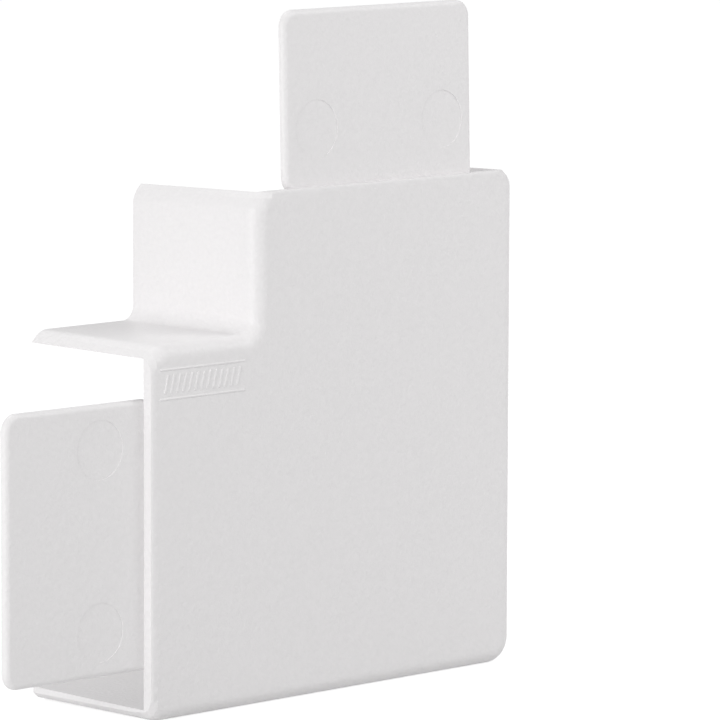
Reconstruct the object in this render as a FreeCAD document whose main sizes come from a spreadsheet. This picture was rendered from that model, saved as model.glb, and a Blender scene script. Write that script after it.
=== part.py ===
"""Flat angle for wall trunking: a cover for the corner where two runs meet.

One plastic moulding. Its L-shaped front wall faces -Y and has a side wall along each outer and inner
side. The two arms are alike, mirrored about the diagonal: one runs to -X and the other up to +Z, and
both are open at the end and at the back. A thin flat tongue stands out of each end, for the
trunking's lid to go over.

The bodies are drawn from the sharp outer corner of the L at the front. The finished cover is moved
so that the middle of its footprint is at the origin and it stands on Z = 0.
"""
import FreeCAD, Part
import os
import Sketcher

os.makedirs("parts", exist_ok=True)

# Sizes in millimetres, the leans and the slope in degrees.
SIZES = {
    # The arms, from the outer corner of the L to the open ends
    "arm_length": 90.25,
    "arm_width": 65.4,
    "depth": 31.3,
    "front_wall": 2.3,
    "side_wall": 2.15,
    # How the side walls lean towards the L's inner corner, and its open ends slope in, at the back
    "outer_wall_lean": 0.75,
    "inner_wall_lean": 0.35,
    "end_slope": 1.1,
    # Roundings of the L: its two corners seen from the front, and the edge of its front wall
    "outer_corner_radius": 4.7,
    "inner_corner_radius": 2.6,
    "front_edge_radius": 2.6,
    # Bevels that thin the side walls to their open ends
    "outer_bevel_length": 2.2,
    "outer_bevel_depth": 1.4,
    "inner_bevel_length": 2.8,
    "inner_bevel_depth": 1.65,
    "bevel_blend_radius": 3.0,
    # The shallow bevel right round the outside of each open end
    "rim_bevel_length": 1.2,
    "rim_bevel_depth": 0.42,
    # The tongues, from the open end outwards
    "tongue_length": 31.1,
    "tongue_width": 47.1,
    "tongue_thickness": 1.25,
    "tongue_lap": 0.15,
    "tongue_lean": 1.4,
    "tongue_root": 8.0,
    "tongue_corner_radius": 3.0,
    "tongue_edge_radius": 1.05,
    "top_tongue_notch": 2.1,
    # Round ejector marks in the face of each tongue
    "mark_diameter": 10.4,
    "mark_depth": 0.12,
    "mark_reach": 10.0,
    "mark_spacing": 31.5,
}

doc = FreeCAD.newDocument("flat_angle")
sizes = doc.addObject("Spreadsheet::Sheet", "sizes")
for row, (alias, value) in enumerate(SIZES.items(), start=1):
    sizes.set(f"A{row}", alias)
    sizes.set(f"B{row}", str(value))
    sizes.setAlias(f"B{row}", alias)
doc.recompute()

# A sketch's own origin, as its constraints name it
ORIGIN = (-1, 1)

# Points nearer than this are the same point, and a leaning edge passes this near to its upright one
SAME = 0.001
NEAR = 0.1


def start_body(name):
    """A new, empty body."""
    body = doc.addObject("PartDesign::Body", name)
    body.Label = name
    return body


def origin_item(body, role):
    """One of the planes or axes of the body's origin."""
    return next(item for item in body.Origin.OriginFeatures if item.Role == role)


def front_sketch(body, name, behind="0"):
    """An upright sketch, seen from the front, that lies `behind` the body's front plane."""
    sketch = body.newObject("Sketcher::SketchObject", name)
    sketch.AttachmentSupport = [(origin_item(body, "XZ_Plane"), "")]
    sketch.MapMode = "FlatFace"
    sketch.setExpression("AttachmentOffset.Base.z", f"-({behind})")
    return sketch


def draw_outline(sketch, corners):
    """Straight lines from corner to corner, upright and level ones held so, joined end to end."""
    count = len(corners)
    points = [FreeCAD.Vector(across, up, 0) for across, up in corners]
    for line in range(count):
        start, end = points[line], points[(line + 1) % count]
        sketch.addGeometry(Part.LineSegment(start, end), False)
        if abs(start.x - end.x) < SAME:
            sketch.addConstraint(Sketcher.Constraint("Vertical", line))
        if abs(start.y - end.y) < SAME:
            sketch.addConstraint(Sketcher.Constraint("Horizontal", line))
    for line in range(count):
        sketch.addConstraint(Sketcher.Constraint("Coincident", line, 2, (line + 1) % count, 1))


def hold(sketch, kind, start, end, formula):
    """Hold `end` at a distance right of `start` (DistanceX) or above it (DistanceY)."""
    index = sketch.addConstraint(Sketcher.Constraint(kind, *start, *end, 1.0))
    sketch.setExpression(f"Constraints[{index}]", formula)


def add_feature(body, kind, name, **formulas):
    """A feature of the body whose sizes follow the given formulas."""
    feature = body.newObject(kind, name)
    for prop, formula in formulas.items():
        feature.setExpression(prop, formula)
    return feature


def round_edges(body, name, formula, chosen):
    """Round those edges of the body's last shape for which chosen(edge) is true."""
    doc.recompute()
    base = body.Tip
    names = [f"Edge{n}" for n, edge in enumerate(base.Shape.Edges, start=1) if chosen(edge)]
    fillet = add_feature(body, "PartDesign::Fillet", name, Radius=formula)
    fillet.Base = (base, names)
    return fillet


def lean_faces(body, name, formula, chosen, thickens=False):
    """Lean the faces for which chosen(face) is true, about their lines in the front plane.

    The body gets thinner towards the back, or thicker where `thickens` is set.
    """
    doc.recompute()
    base = body.Tip
    names = [f"Face{n}" for n, face in enumerate(base.Shape.Faces, start=1) if chosen(face)]
    draft = add_feature(body, "PartDesign::Draft", name, Angle=formula)
    draft.Base = (base, names)
    draft.NeutralPlane = (origin_item(body, "XZ_Plane"), [""])
    draft.PullDirection = (origin_item(body, "Y_Axis"), [""])
    draft.Reversed = thickens
    # The first pass finds the direction, and the second leans the faces along it.
    doc.recompute()
    draft.touch()
    doc.recompute()
    return draft


def runs_back(edge, spots=None):
    """Whether the edge runs back, and does so from close beside one of the (x, z) spots if given."""
    ends = sorted((vertex.Point for vertex in edge.Vertexes), key=lambda point: point.y)
    if len(ends) < 2 or ends[1].y - ends[0].y < 0.5 * edge.Length:
        return False
    return spots is None or any(
        abs(ends[0].x - x) < NEAR and abs(ends[0].z - z) < NEAR for x, z in spots
    )


def lies_in_front(item):
    """Whether the whole edge or face lies in the body's front plane."""
    return item.BoundBox.YMax < SAME


def lies_along(distance):
    """A test for the faces that run along an arm at this distance from its outer side."""
    def chosen(face):
        upright = all(abs(vertex.Point.x + distance) < SAME for vertex in face.Vertexes)
        level = all(abs(vertex.Point.z - distance) < SAME for vertex in face.Vertexes)
        return upright or level
    return chosen


def lies_at_an_end(item):
    """Whether the corners of the edge or face all lie in the plane of one of the two open ends."""
    corners = [vertex.Point for vertex in item.Vertexes]
    at_left = all(corner.x < SAME - sizes.arm_length for corner in corners)
    at_top = all(corner.z > sizes.arm_length - SAME for corner in corners)
    return at_left or at_top


# The shell: the L in solid plastic, rounded, then hollowed from the back.
length, width = sizes.arm_length, sizes.arm_width
shell = start_body("shell")

outline = front_sketch(shell, "shell_outline")
draw_outline(outline, [
    (0, 0),
    (0, length - sizes.outer_bevel_length),
    (-sizes.outer_bevel_depth, length),
    (-width + sizes.inner_bevel_depth, length),
    (-width, length - sizes.inner_bevel_length),
    (-width, width),
    (-length + sizes.inner_bevel_length, width),
    (-length, width - sizes.inner_bevel_depth),
    (-length, sizes.outer_bevel_depth),
    (-length + sizes.outer_bevel_length, 0),
])
outline.addConstraint(Sketcher.Constraint("Coincident", 0, 1, *ORIGIN))
hold(outline, "DistanceY", ORIGIN, (2, 1), "sizes.arm_length")
hold(outline, "DistanceX", (7, 1), ORIGIN, "sizes.arm_length")
hold(outline, "DistanceX", (5, 1), ORIGIN, "sizes.arm_width")
hold(outline, "DistanceY", ORIGIN, (5, 1), "sizes.arm_width")
hold(outline, "DistanceY", (1, 1), (1, 2), "sizes.outer_bevel_length")
hold(outline, "DistanceX", (1, 2), (1, 1), "sizes.outer_bevel_depth")
hold(outline, "DistanceX", (8, 1), (8, 2), "sizes.outer_bevel_length")
hold(outline, "DistanceY", (8, 2), (8, 1), "sizes.outer_bevel_depth")
hold(outline, "DistanceY", (3, 2), (3, 1), "sizes.inner_bevel_length")
hold(outline, "DistanceX", (3, 2), (3, 1), "sizes.inner_bevel_depth")
hold(outline, "DistanceX", (6, 2), (6, 1), "sizes.inner_bevel_length")
hold(outline, "DistanceY", (6, 2), (6, 1), "sizes.inner_bevel_depth")

block = add_feature(shell, "PartDesign::Pad", "block", Length="sizes.depth")
block.Profile = outline
block.Reversed = True

lean_faces(shell, "outer_walls", "sizes.outer_wall_lean", lies_along(0))
lean_faces(shell, "inner_walls", "sizes.inner_wall_lean", lies_along(width), thickens=True)
lean_faces(shell, "ends", "sizes.end_slope", lies_at_an_end)
round_edges(shell, "outer_corner", "sizes.outer_corner_radius",
            lambda edge: runs_back(edge, [(0, 0)]))
round_edges(shell, "inner_corner", "sizes.inner_corner_radius",
            lambda edge: runs_back(edge, [(-width, width)]))
bevel_starts = [
    (0, length - sizes.outer_bevel_length),
    (-width, length - sizes.inner_bevel_length),
    (-length + sizes.inner_bevel_length, width),
    (-length + sizes.outer_bevel_length, 0),
]
round_edges(shell, "bevel_blends", "sizes.bevel_blend_radius",
            lambda edge: runs_back(edge, bevel_starts))
round_edges(shell, "front_edge", "sizes.front_edge_radius",
            lambda edge: lies_in_front(edge) and not lies_at_an_end(edge))


hollow = front_sketch(shell, "channel_outline", behind="sizes.front_wall")
draw_outline(hollow, [
    (-sizes.side_wall, sizes.side_wall),
    (-sizes.side_wall, length),
    (-width + sizes.side_wall, length),
    (-width + sizes.side_wall, width - sizes.side_wall),
    (-length, width - sizes.side_wall),
    (-length, sizes.side_wall),
])
hold(hollow, "DistanceX", (0, 1), ORIGIN, "sizes.side_wall")
hold(hollow, "DistanceY", ORIGIN, (0, 1), "sizes.side_wall")
hold(hollow, "DistanceY", ORIGIN, (2, 1), "sizes.arm_length")
hold(hollow, "DistanceX", (4, 2), ORIGIN, "sizes.arm_length")
hold(hollow, "DistanceX", (3, 1), ORIGIN, "sizes.arm_width - sizes.side_wall")
hold(hollow, "DistanceY", ORIGIN, (3, 1), "sizes.arm_width - sizes.side_wall")
doc.recompute()
solid_volume = shell.Tip.Shape.Volume
channel = shell.newObject("PartDesign::Pocket", "channel")
channel.Profile = hollow
channel.Type = "ThroughAll"

# The walls keep their thickness as they lean, and round both corners.
lean_faces(shell, "channel_outer_sides", "sizes.outer_wall_lean", lies_along(sizes.side_wall),
           thickens=True)
lean_faces(shell, "channel_inner_sides", "sizes.inner_wall_lean",
           lies_along(width - sizes.side_wall))
round_edges(shell, "channel_outer_corner", "max(sizes.outer_corner_radius - sizes.side_wall; 0.2)",
            lambda edge: runs_back(edge, [(-sizes.side_wall, sizes.side_wall)]))
round_edges(shell, "channel_inner_corner", "sizes.inner_corner_radius + sizes.side_wall",
            lambda edge: runs_back(edge, [(-width + sizes.side_wall, width - sizes.side_wall)]))

# The shallow bevel runs on from the front edges of the ends and leaves some of each wall's end flat.
doc.recompute()
hollowed = shell.Tip
thickest_bevel = "max(sizes.inner_bevel_depth; sizes.outer_bevel_depth)"
rim = add_feature(shell, "PartDesign::Chamfer", "rim_bevel", Size="sizes.rim_bevel_length",
                  Size2=f"min(sizes.rim_bevel_depth; 0.9 * (sizes.side_wall - {thickest_bevel}))")
rim.Base = (hollowed, [f"Edge{n}" for n, edge in enumerate(hollowed.Shape.Edges, start=1)
                       if lies_in_front(edge) and lies_at_an_end(edge)])
rim.ChamferType = "Two distances"
rim.FlipDirection = True


def make_tongue(name, notch=None):
    """A tongue that stands up from Z = 0 at the middle of an open end, its face in the front plane.

    Its plate is a rectangle with four rounded corners. The lower two start at the open end, or the
    left one a `notch` above it. A narrower root carries the plate on down behind the front wall.
    """
    body = start_body(name)
    radius = sizes.tongue_corner_radius
    half = sizes.tongue_width / 2
    tip = sizes.tongue_length
    left_foot = (sizes.get(notch) if notch else 0) - radius

    plate_outline = front_sketch(body, name + "_outline")
    draw_outline(plate_outline, [(-half, left_foot), (half, -radius), (half, tip), (-half, tip)])
    hold(plate_outline, "DistanceX", (0, 1), ORIGIN, "sizes.tongue_width / 2")
    hold(plate_outline, "DistanceX", ORIGIN, (0, 2), "sizes.tongue_width / 2")
    hold(plate_outline, "DistanceY", ORIGIN, (2, 1), "sizes.tongue_length")
    hold(plate_outline, "DistanceY", (0, 2), ORIGIN, "sizes.tongue_corner_radius")
    if notch:
        hold(plate_outline, "DistanceY", (0, 2), (0, 1), f"sizes.{notch}")
    plate = add_feature(body, "PartDesign::Pad", name + "_plate", Length="sizes.tongue_thickness")
    plate.Profile = plate_outline
    plate.Reversed = True
    round_edges(body, name + "_corners", "sizes.tongue_corner_radius", runs_back)
    round_edges(body, name + "_edge", "min(sizes.tongue_edge_radius; 0.9 * sizes.tongue_thickness)",
                lies_in_front)

    root_half = half - radius - sizes.tongue_edge_radius
    root_outline = front_sketch(body, name + "_root_outline")
    draw_outline(root_outline, [
        (-root_half, -sizes.tongue_root),
        (root_half, -sizes.tongue_root),
        (root_half, radius),
        (-root_half, radius),
    ])
    root_formula = "sizes.tongue_width / 2 - sizes.tongue_corner_radius - sizes.tongue_edge_radius"
    hold(root_outline, "DistanceX", (0, 1), ORIGIN, root_formula)
    hold(root_outline, "DistanceX", ORIGIN, (0, 2), root_formula)
    hold(root_outline, "DistanceY", (0, 1), ORIGIN, "sizes.tongue_root")
    hold(root_outline, "DistanceY", ORIGIN, (2, 1), "sizes.tongue_corner_radius")
    root = add_feature(body, "PartDesign::Pad", name + "_root", Length="sizes.tongue_thickness")
    root.Profile = root_outline
    root.Reversed = True

    marks_outline = front_sketch(body, name + "_marks_outline")
    for side in (-1, 1):
        centre = FreeCAD.Vector(side * sizes.mark_spacing / 2, sizes.mark_reach, 0)
        circle = Part.Circle(centre, FreeCAD.Vector(0, 0, 1), sizes.mark_diameter / 2)
        ring = marks_outline.addGeometry(circle, False)
        index = marks_outline.addConstraint(
            Sketcher.Constraint("Diameter", ring, sizes.mark_diameter))
        marks_outline.setExpression(f"Constraints[{index}]", "sizes.mark_diameter")
        hold(marks_outline, "DistanceY", ORIGIN, (ring, 3), "sizes.mark_reach")
    hold(marks_outline, "DistanceX", (0, 3), ORIGIN, "sizes.mark_spacing / 2")
    hold(marks_outline, "DistanceX", ORIGIN, (1, 3), "sizes.mark_spacing / 2")
    marks = add_feature(body, "PartDesign::Pocket", name + "_marks", Length="sizes.mark_depth")
    marks.Profile = marks_outline
    doc.recompute()
    return body


top_tongue = make_tongue("top_tongue", notch="top_tongue_notch")
left_tongue = make_tongue("left_tongue")

# Each tongue starts at the middle of its open end, lapped into the front wall, and leans back.
lean_back = "rotation(vector(1; 0; 0); -sizes.tongue_lean)"
lie_left = "rotation(vector(0; 1; 0); -90)"
top_tongue.setExpression("Placement", (
    "placement(vector(-sizes.arm_width / 2; sizes.front_wall - sizes.tongue_lap; sizes.arm_length);"
    f" {lean_back})"
))
left_tongue.setExpression("Placement", (
    "placement(vector(-sizes.arm_length; sizes.front_wall - sizes.tongue_lap; sizes.arm_width / 2);"
    f" {lie_left} * {lean_back})"
))

cover = doc.addObject("Part::MultiFuse", "angle_cover")
cover.Label = "angle_cover"
cover.Shapes = [shell, top_tongue, left_tongue]
cover.Refine = True
cover.setExpression("Placement.Base.x", "(sizes.arm_length + sizes.tongue_length) / 2")
cover.setExpression("Placement.Base.y", "-sizes.depth / 2")
doc.recompute()

for item in doc.Objects:
    if "Invalid" in item.State or "Error" in item.State:
        raise RuntimeError(f"{item.Name} failed: {item.State}")
if cover.Shape.isNull() or not cover.Shape.isValid():
    raise RuntimeError("angle_cover has no valid shape")
if len(cover.Shape.Solids) != 1:
    raise RuntimeError("angle_cover is not one solid")
if channel.Shape.Volume > 0.5 * solid_volume:
    raise RuntimeError("the channel has not been hollowed out")

cover.Shape.exportStep("parts/angle_cover.step")
box = cover.Shape.optimalBoundingBox(False, False)
print(f"angle_cover: {cover.Shape.Volume:.1f} mm3, {len(cover.Shape.Faces)} faces")
print(f"x {box.XMin:.3f} to {box.XMax:.3f}, y {box.YMin:.3f} to {box.YMax:.3f}, "
      f"z {box.ZMin:.3f} to {box.ZMax:.3f}")
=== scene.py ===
import math
import bpy
import numpy as np
from mathutils import Matrix, Vector


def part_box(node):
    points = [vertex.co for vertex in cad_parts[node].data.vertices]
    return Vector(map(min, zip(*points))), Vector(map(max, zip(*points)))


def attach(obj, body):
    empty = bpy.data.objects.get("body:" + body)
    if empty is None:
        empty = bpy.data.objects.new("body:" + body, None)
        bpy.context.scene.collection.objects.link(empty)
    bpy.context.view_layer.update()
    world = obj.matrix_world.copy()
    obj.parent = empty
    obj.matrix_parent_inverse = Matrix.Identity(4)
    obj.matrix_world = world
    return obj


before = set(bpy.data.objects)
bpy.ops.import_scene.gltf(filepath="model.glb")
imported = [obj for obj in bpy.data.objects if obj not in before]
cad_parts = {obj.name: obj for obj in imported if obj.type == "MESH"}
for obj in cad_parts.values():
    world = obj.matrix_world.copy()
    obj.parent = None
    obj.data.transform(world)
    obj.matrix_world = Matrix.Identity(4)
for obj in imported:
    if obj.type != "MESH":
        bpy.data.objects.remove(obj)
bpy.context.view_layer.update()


# Cover. One injection moulding in warm white plastic. Its skin is satin, with a fine grain from the
# mould and a slow change of gloss where the melt flowed.
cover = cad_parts["angle_cover"]
COVER_WHITE = (0.926, 0.911, 0.916)
COVER_SHADE = (0.900, 0.886, 0.891)
PLASTIC_IOR = 1.5
SHINIEST, DULLEST = 0.38, 0.5
FLOW_SCALE, FLOW_DETAIL = 45, 3
GRAIN_SIZE, GRAIN_DETAIL = 0.0008, 2
GRAIN_DEPTH = 0.00012
FLECKS_FROM, FLECKS_TO = 0.3, 0.7

# A shallow bevel runs round the outside of each open end, and is shaded as a narrow round. For each
# end: its outward direction, the axis and place of its plane, and how far the bevel's shading leans
# outwards at its inner edge and at the end.
RIM_LENGTH = 0.0012
RIM_TILT, TILT_SPREAD = 0.33, 0.08
RIM_CURVE = 4
RIM_ENDS = (
    ((-1, 0, 0), "X", -0.029575, 0.11, 1.2),
    ((0, 0, 1), "Z", 0.09025, 0.12, 0.5),
)


def worked_out(tree, kind, operation, *terms):
    """The result of a new maths node. Each term is a fixed value or another node's result."""
    node = tree.nodes.new(kind)
    node.operation = operation
    for socket, term in zip(node.inputs, terms):
        if isinstance(term, bpy.types.NodeSocket):
            tree.links.new(term, socket)
        else:
            socket.default_value = term
    return node.outputs["Value" if operation == "DOT_PRODUCT" else 0]


def softened_rims(tree, place):
    """The surface's normal, turned on the shallow bevels of both ends so that they look rounded.

    On each bevel, u falls from 1 at the cover's end to 0 at its inner edge. The outward direction
    is added to the normal, times low plus (high - low) times u to the power 4, less the tilt that
    the bevel has by itself. Only faces near the end that tilt by about that much are turned.
    """
    number, vector = "ShaderNodeMath", "ShaderNodeVectorMath"
    spot = tree.nodes.new("ShaderNodeSeparateXYZ")
    tree.links.new(place, spot.inputs["Vector"])
    surface = tree.nodes.new("ShaderNodeNewGeometry").outputs["Normal"]
    normal = surface
    for outward, axis, end, low, high in RIM_ENDS:
        share = tree.nodes.new("ShaderNodeMapRange")
        share.clamp = False
        share.inputs["From Min"].default_value = end
        share.inputs["From Max"].default_value = end - sum(outward) * RIM_LENGTH
        share.inputs["To Min"].default_value = 1
        share.inputs["To Max"].default_value = 0
        tree.links.new(spot.outputs[axis], share.inputs["Value"])
        u = share.outputs["Result"]
        # 1 where u lies between 0 and 1
        near_end = worked_out(tree, number, "COMPARE", u, 0.5, 0.5)
        tilt = worked_out(tree, vector, "DOT_PRODUCT", surface, outward)
        is_bevel = worked_out(tree, number, "COMPARE", tilt, RIM_TILT, TILT_SPREAD)
        both = worked_out(tree, number, "MULTIPLY", near_end, is_bevel)
        rise = worked_out(tree, number, "POWER", u, RIM_CURVE)
        turn = worked_out(tree, number, "MULTIPLY_ADD", rise, high - low, low - RIM_TILT)
        amount = worked_out(tree, number, "MULTIPLY", turn, both)
        normal = worked_out(tree, vector, "MULTIPLY_ADD", outward, amount, normal)
    return worked_out(tree, vector, "NORMALIZE", normal)


def satin_moulding():
    """White plastic with a satin skin: a slow change of gloss, and a fine grain that also tints."""
    material = bpy.data.materials.new("satin_moulding")
    material.use_nodes = True
    tree = material.node_tree
    nodes, links = tree.nodes, tree.links
    surface = nodes["Principled BSDF"]
    surface.inputs["IOR"].default_value = PLASTIC_IOR
    place = nodes.new("ShaderNodeTexCoord").outputs["Object"]

    flow = nodes.new("ShaderNodeTexNoise")
    flow.inputs["Scale"].default_value = FLOW_SCALE
    flow.inputs["Detail"].default_value = FLOW_DETAIL
    links.new(place, flow.inputs["Vector"])
    gloss = nodes.new("ShaderNodeMapRange")
    gloss.inputs["To Min"].default_value = SHINIEST
    gloss.inputs["To Max"].default_value = DULLEST
    links.new(flow.outputs["Fac"], gloss.inputs["Value"])
    links.new(gloss.outputs["Result"], surface.inputs["Roughness"])

    grain = nodes.new("ShaderNodeTexNoise")
    grain.inputs["Scale"].default_value = 1 / GRAIN_SIZE
    grain.inputs["Detail"].default_value = GRAIN_DETAIL
    links.new(place, grain.inputs["Vector"])
    skin = nodes.new("ShaderNodeBump")
    skin.inputs["Strength"].default_value = 1
    skin.inputs["Distance"].default_value = GRAIN_DEPTH
    links.new(grain.outputs["Fac"], skin.inputs["Height"])
    links.new(softened_rims(tree, place), skin.inputs["Normal"])
    links.new(skin.outputs["Normal"], surface.inputs["Normal"])

    # A Mix node's colour sockets share their names with its other ones, so they go by number
    fleck = nodes.new("ShaderNodeMapRange")
    fleck.inputs["From Min"].default_value = FLECKS_FROM
    fleck.inputs["From Max"].default_value = FLECKS_TO
    links.new(grain.outputs["Fac"], fleck.inputs["Value"])
    tint = nodes.new("ShaderNodeMix")
    tint.data_type = "RGBA"
    tint.inputs[6].default_value = (*COVER_SHADE, 1)
    tint.inputs[7].default_value = (*COVER_WHITE, 1)
    links.new(fleck.outputs["Result"], tint.inputs[0])
    links.new(tint.outputs[2], surface.inputs["Base Color"])
    return material


cover_finish = satin_moulding()
cover.data.materials.clear()
cover.data.materials.append(cover_finish)


# Front marks. A plain raised pattern near the inner corner of the front face: two thin rules that
# run along the side arm, with a row of short slanted ribs between them. They are moulded in one
# with the cover, in its plastic.
MARKS_FROM, MARKS_TO = -0.0276, -0.0077
RULE_HEIGHTS = (0.0613, 0.0562)
RULE_WIDTH = 0.00048
RIB_COUNT = 13
RIB_HEIGHT = 0.0028
RIB_WIDTH = 0.00058
RIB_LEAN = math.radians(15)
RIBS_INSET = 0.001
RELIEF = 0.00016
CROWN = 0.15
SUNK = 0.0001


def raised_bars(starts, ends, widths, level):
    """Rounded bars on an upright plane that faces the front, from starts to ends given as (x, z).

    Around each bar, the angle a runs once. A point lies at the end of the bar's middle line where
    cos a is above 0, else at its start, plus half the width times the shrink s in the direction a
    from the bar's own line. From the foot to the crown s falls from 1 to 0.15, and the point stands
    1 less the square of s, times the relief, in front of the plane. The first ring lies sunk behind
    the plane.
    """
    around, rings = 24, 7
    starts, ends = np.array(starts, float), np.array(ends, float)
    widths = np.broadcast_to(widths, len(starts))
    along = (ends - starts) / np.linalg.norm(ends - starts, axis=1)[:, None]
    across = np.stack((-along[:, 1], along[:, 0]), axis=1)
    a = (np.arange(around) + 0.5) * 2 * math.pi / around
    shrink = np.concatenate(([1], np.linspace(1, CROWN, rings - 1)))
    front = (1 - shrink ** 2) * RELIEF
    front[0] = -SUNK
    middle = np.where((np.cos(a) > 0)[None, :, None], ends[:, None], starts[:, None])
    way = np.cos(a)[None, :, None] * along[:, None] + np.sin(a)[None, :, None] * across[:, None]
    reach = (widths[:, None] / 2 * shrink[None, :])[:, :, None, None]
    spots = middle[:, None] + reach * way[:, None]
    points = np.empty(spots.shape[:3] + (3,))
    points[..., 0] = spots[..., 0]
    points[..., 1] = level - front[None, :, None]
    points[..., 2] = spots[..., 1]

    corners = np.arange(len(starts) * rings * around).reshape(-1, rings, around)
    low, high = corners[:, :-1], corners[:, 1:]
    walls = np.stack((low, np.roll(low, -1, 2), np.roll(high, -1, 2), high), axis=-1)
    caps = np.concatenate((corners[:, 0, ::-1], corners[:, -1]))
    faces = walls.reshape(-1, 4).tolist() + caps.tolist()
    mesh = bpy.data.meshes.new("front_marks")
    mesh.from_pydata(points.reshape(-1, 3).tolist(), [], faces)
    mesh.shade_smooth()
    return mesh


def front_marks():
    """The two rules and the ribs, as one piece that sits in the front face."""
    low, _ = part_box("angle_cover")
    starts = [(MARKS_FROM, height) for height in RULE_HEIGHTS]
    ends = [(MARKS_TO, height) for height in RULE_HEIGHTS]
    middle = sum(RULE_HEIGHTS) / 2
    half_lean = RIB_HEIGHT / 2 * math.tan(RIB_LEAN)
    inset = RIBS_INSET + half_lean
    for across in np.linspace(MARKS_FROM + inset, MARKS_TO - inset, RIB_COUNT):
        starts.append((across - half_lean, middle - RIB_HEIGHT / 2))
        ends.append((across + half_lean, middle + RIB_HEIGHT / 2))
    widths = [RULE_WIDTH] * len(RULE_HEIGHTS) + [RIB_WIDTH] * RIB_COUNT
    mesh = raised_bars(starts, ends, widths, low[1])
    marks = bpy.data.objects.new("front_marks", mesh)
    bpy.context.scene.collection.objects.link(marks)
    mesh.materials.append(cover_finish)
    return marks


marks = front_marks()
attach(marks, "root")


# Floor. A plain white sheet of matt card, wide enough to fill the view behind the cover. The cover
# is lit by it as by a pale table, and the camera sees it white wherever no shadow falls on it.
FLOOR_SIDE = 12.0
TABLE_WHITE, TABLE_GLOW = 0.65, 0.05
SEEN_WHITE, SEEN_GLOW = 0.35, 0.84
TOOTH_SCALE = 900
TOOTH_DEPTH = 0.00002


def white_sheet():
    """A level square at Z = 0."""
    half = FLOOR_SIDE / 2
    corners = [(-half, -half, 0), (half, -half, 0), (half, half, 0), (-half, half, 0)]
    mesh = bpy.data.meshes.new("floor")
    mesh.from_pydata(corners, [], [(0, 1, 2, 3)])
    floor = bpy.data.objects.new("floor", mesh)
    bpy.context.scene.collection.objects.link(floor)
    return floor


def sheet_finish():
    """Matt white card with a faint tooth, in one level for the light it gives and one as seen.

    Each level is a matt surface plus a glow. The second one is for rays from the camera, and for
    those that a glossy or clear surface sends on, so the cover's sheen shows the white sheet too.
    """
    material = bpy.data.materials.new("white_sheet")
    material.use_nodes = True
    tree = material.node_tree
    nodes, links = tree.nodes, tree.links
    nodes.clear()
    place = nodes.new("ShaderNodeTexCoord")
    tooth = nodes.new("ShaderNodeTexNoise")
    tooth.inputs["Scale"].default_value = TOOTH_SCALE
    links.new(place.outputs["Object"], tooth.inputs["Vector"])
    ripple = nodes.new("ShaderNodeBump")
    ripple.inputs["Distance"].default_value = TOOTH_DEPTH
    links.new(tooth.outputs["Fac"], ripple.inputs["Height"])

    levels = []
    for white, glow in ((TABLE_WHITE, TABLE_GLOW), (SEEN_WHITE, SEEN_GLOW)):
        matt = nodes.new("ShaderNodeBsdfDiffuse")
        matt.inputs["Color"].default_value = (white, white, white, 1)
        links.new(ripple.outputs["Normal"], matt.inputs["Normal"])
        light = nodes.new("ShaderNodeEmission")
        light.inputs["Strength"].default_value = glow
        both = nodes.new("ShaderNodeAddShader")
        links.new(matt.outputs["BSDF"], both.inputs[0])
        links.new(light.outputs["Emission"], both.inputs[1])
        levels.append(both.outputs["Shader"])

    ray = nodes.new("ShaderNodeLightPath").outputs
    seen = ray["Is Camera Ray"]
    for kind in ("Is Glossy Ray", "Is Transmission Ray"):
        seen = worked_out(tree, "ShaderNodeMath", "MAXIMUM", seen, ray[kind])
    choice = nodes.new("ShaderNodeMixShader")
    links.new(seen, choice.inputs["Fac"])
    links.new(levels[0], choice.inputs[1])
    links.new(levels[1], choice.inputs[2])
    output = nodes.new("ShaderNodeOutputMaterial")
    links.new(choice.outputs["Shader"], output.inputs["Surface"])
    return material


floor = white_sheet()
floor.data.materials.append(sheet_finish())


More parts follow.
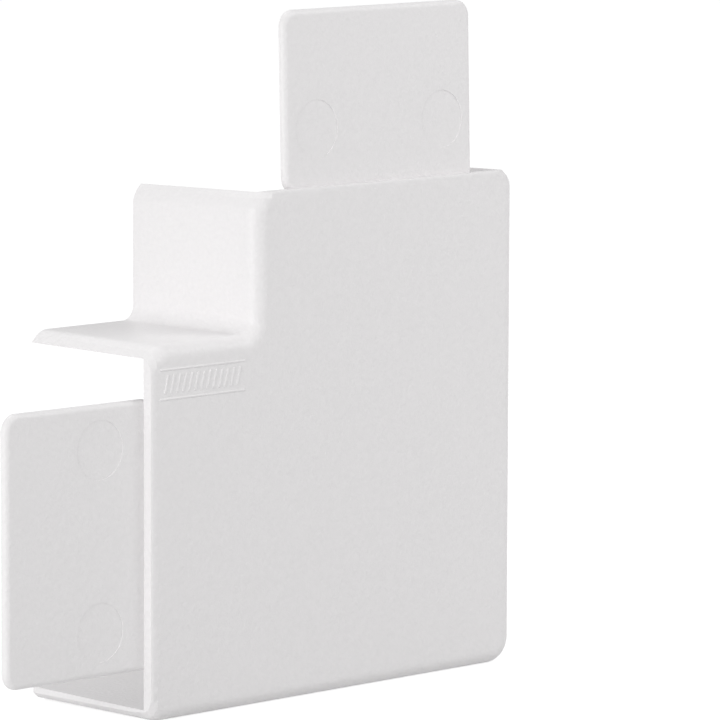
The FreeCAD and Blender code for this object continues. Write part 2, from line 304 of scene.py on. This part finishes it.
# Light. A white room, with a broad soft lamp on the left and smaller ones above, right and behind.
# Each lamp is square, and faces the middle of the cover. Its row gives its place, side and watts.
ROOM_LEVEL = 0.48
MIDDLE = Vector((0, 0, 0.06))
LAMPS = {
    "left_lamp": ((-1.34, -0.26, 0.18), 0.9, 12.35),
    "front_lamp": ((0.33, -0.36, 0.47), 0.3, 1.13),
    "back_lamp": ((0.1, 0.5, 0.9), 0.6, 1.85),
}

world = bpy.data.worlds.new("white_room")
bpy.context.scene.world = world
world.use_nodes = True
room = world.node_tree.nodes["Background"]
room.inputs["Color"].default_value = (1, 1, 1, 1)
room.inputs["Strength"].default_value = ROOM_LEVEL

for name, (place, side, watts) in LAMPS.items():
    light = bpy.data.lights.new(name, "AREA")
    light.shape = "SQUARE"
    light.size = side
    light.energy = watts
    lamp = bpy.data.objects.new(name, light)
    lamp.location = place
    lamp.rotation_euler = (MIDDLE - Vector(place)).to_track_quat("-Z", "Y").to_euler()
    bpy.context.scene.collection.objects.link(lamp)


# Camera. It stands at the left of the front, a little above, a metre off with a long lens.
AZIMUTH = math.radians(45.214)
ELEVATION = math.radians(7.163)
ROLL = math.radians(0.200)
DISTANCE = 1.0387
AIM = Vector((0.02077, -0.01565, 0.05893))
FOCAL_PIXELS = 5870.6
FRAME_PIXELS = 720
SENSOR = 0.036

away = Vector((
    -math.sin(AZIMUTH) * math.cos(ELEVATION),
    -math.cos(AZIMUTH) * math.cos(ELEVATION),
    math.sin(ELEVATION),
))
level = Vector((math.cos(AZIMUTH), -math.sin(AZIMUTH), 0))
upward = away.cross(level)
right = math.cos(ROLL) * level + math.sin(ROLL) * upward
up = math.cos(ROLL) * upward - math.sin(ROLL) * level

lens = bpy.data.cameras.new("camera")
lens.sensor_width = SENSOR * 1000
lens.lens = FOCAL_PIXELS / FRAME_PIXELS * SENSOR * 1000
camera = bpy.data.objects.new("camera", lens)
axes = Matrix((right, up, away)).transposed().to_4x4()
camera.matrix_world = Matrix.Translation(AIM + DISTANCE * away) @ axes
bpy.context.scene.collection.objects.link(camera)
bpy.context.scene.camera = camera
bpy.context.scene.view_settings.view_transform = "Standard"
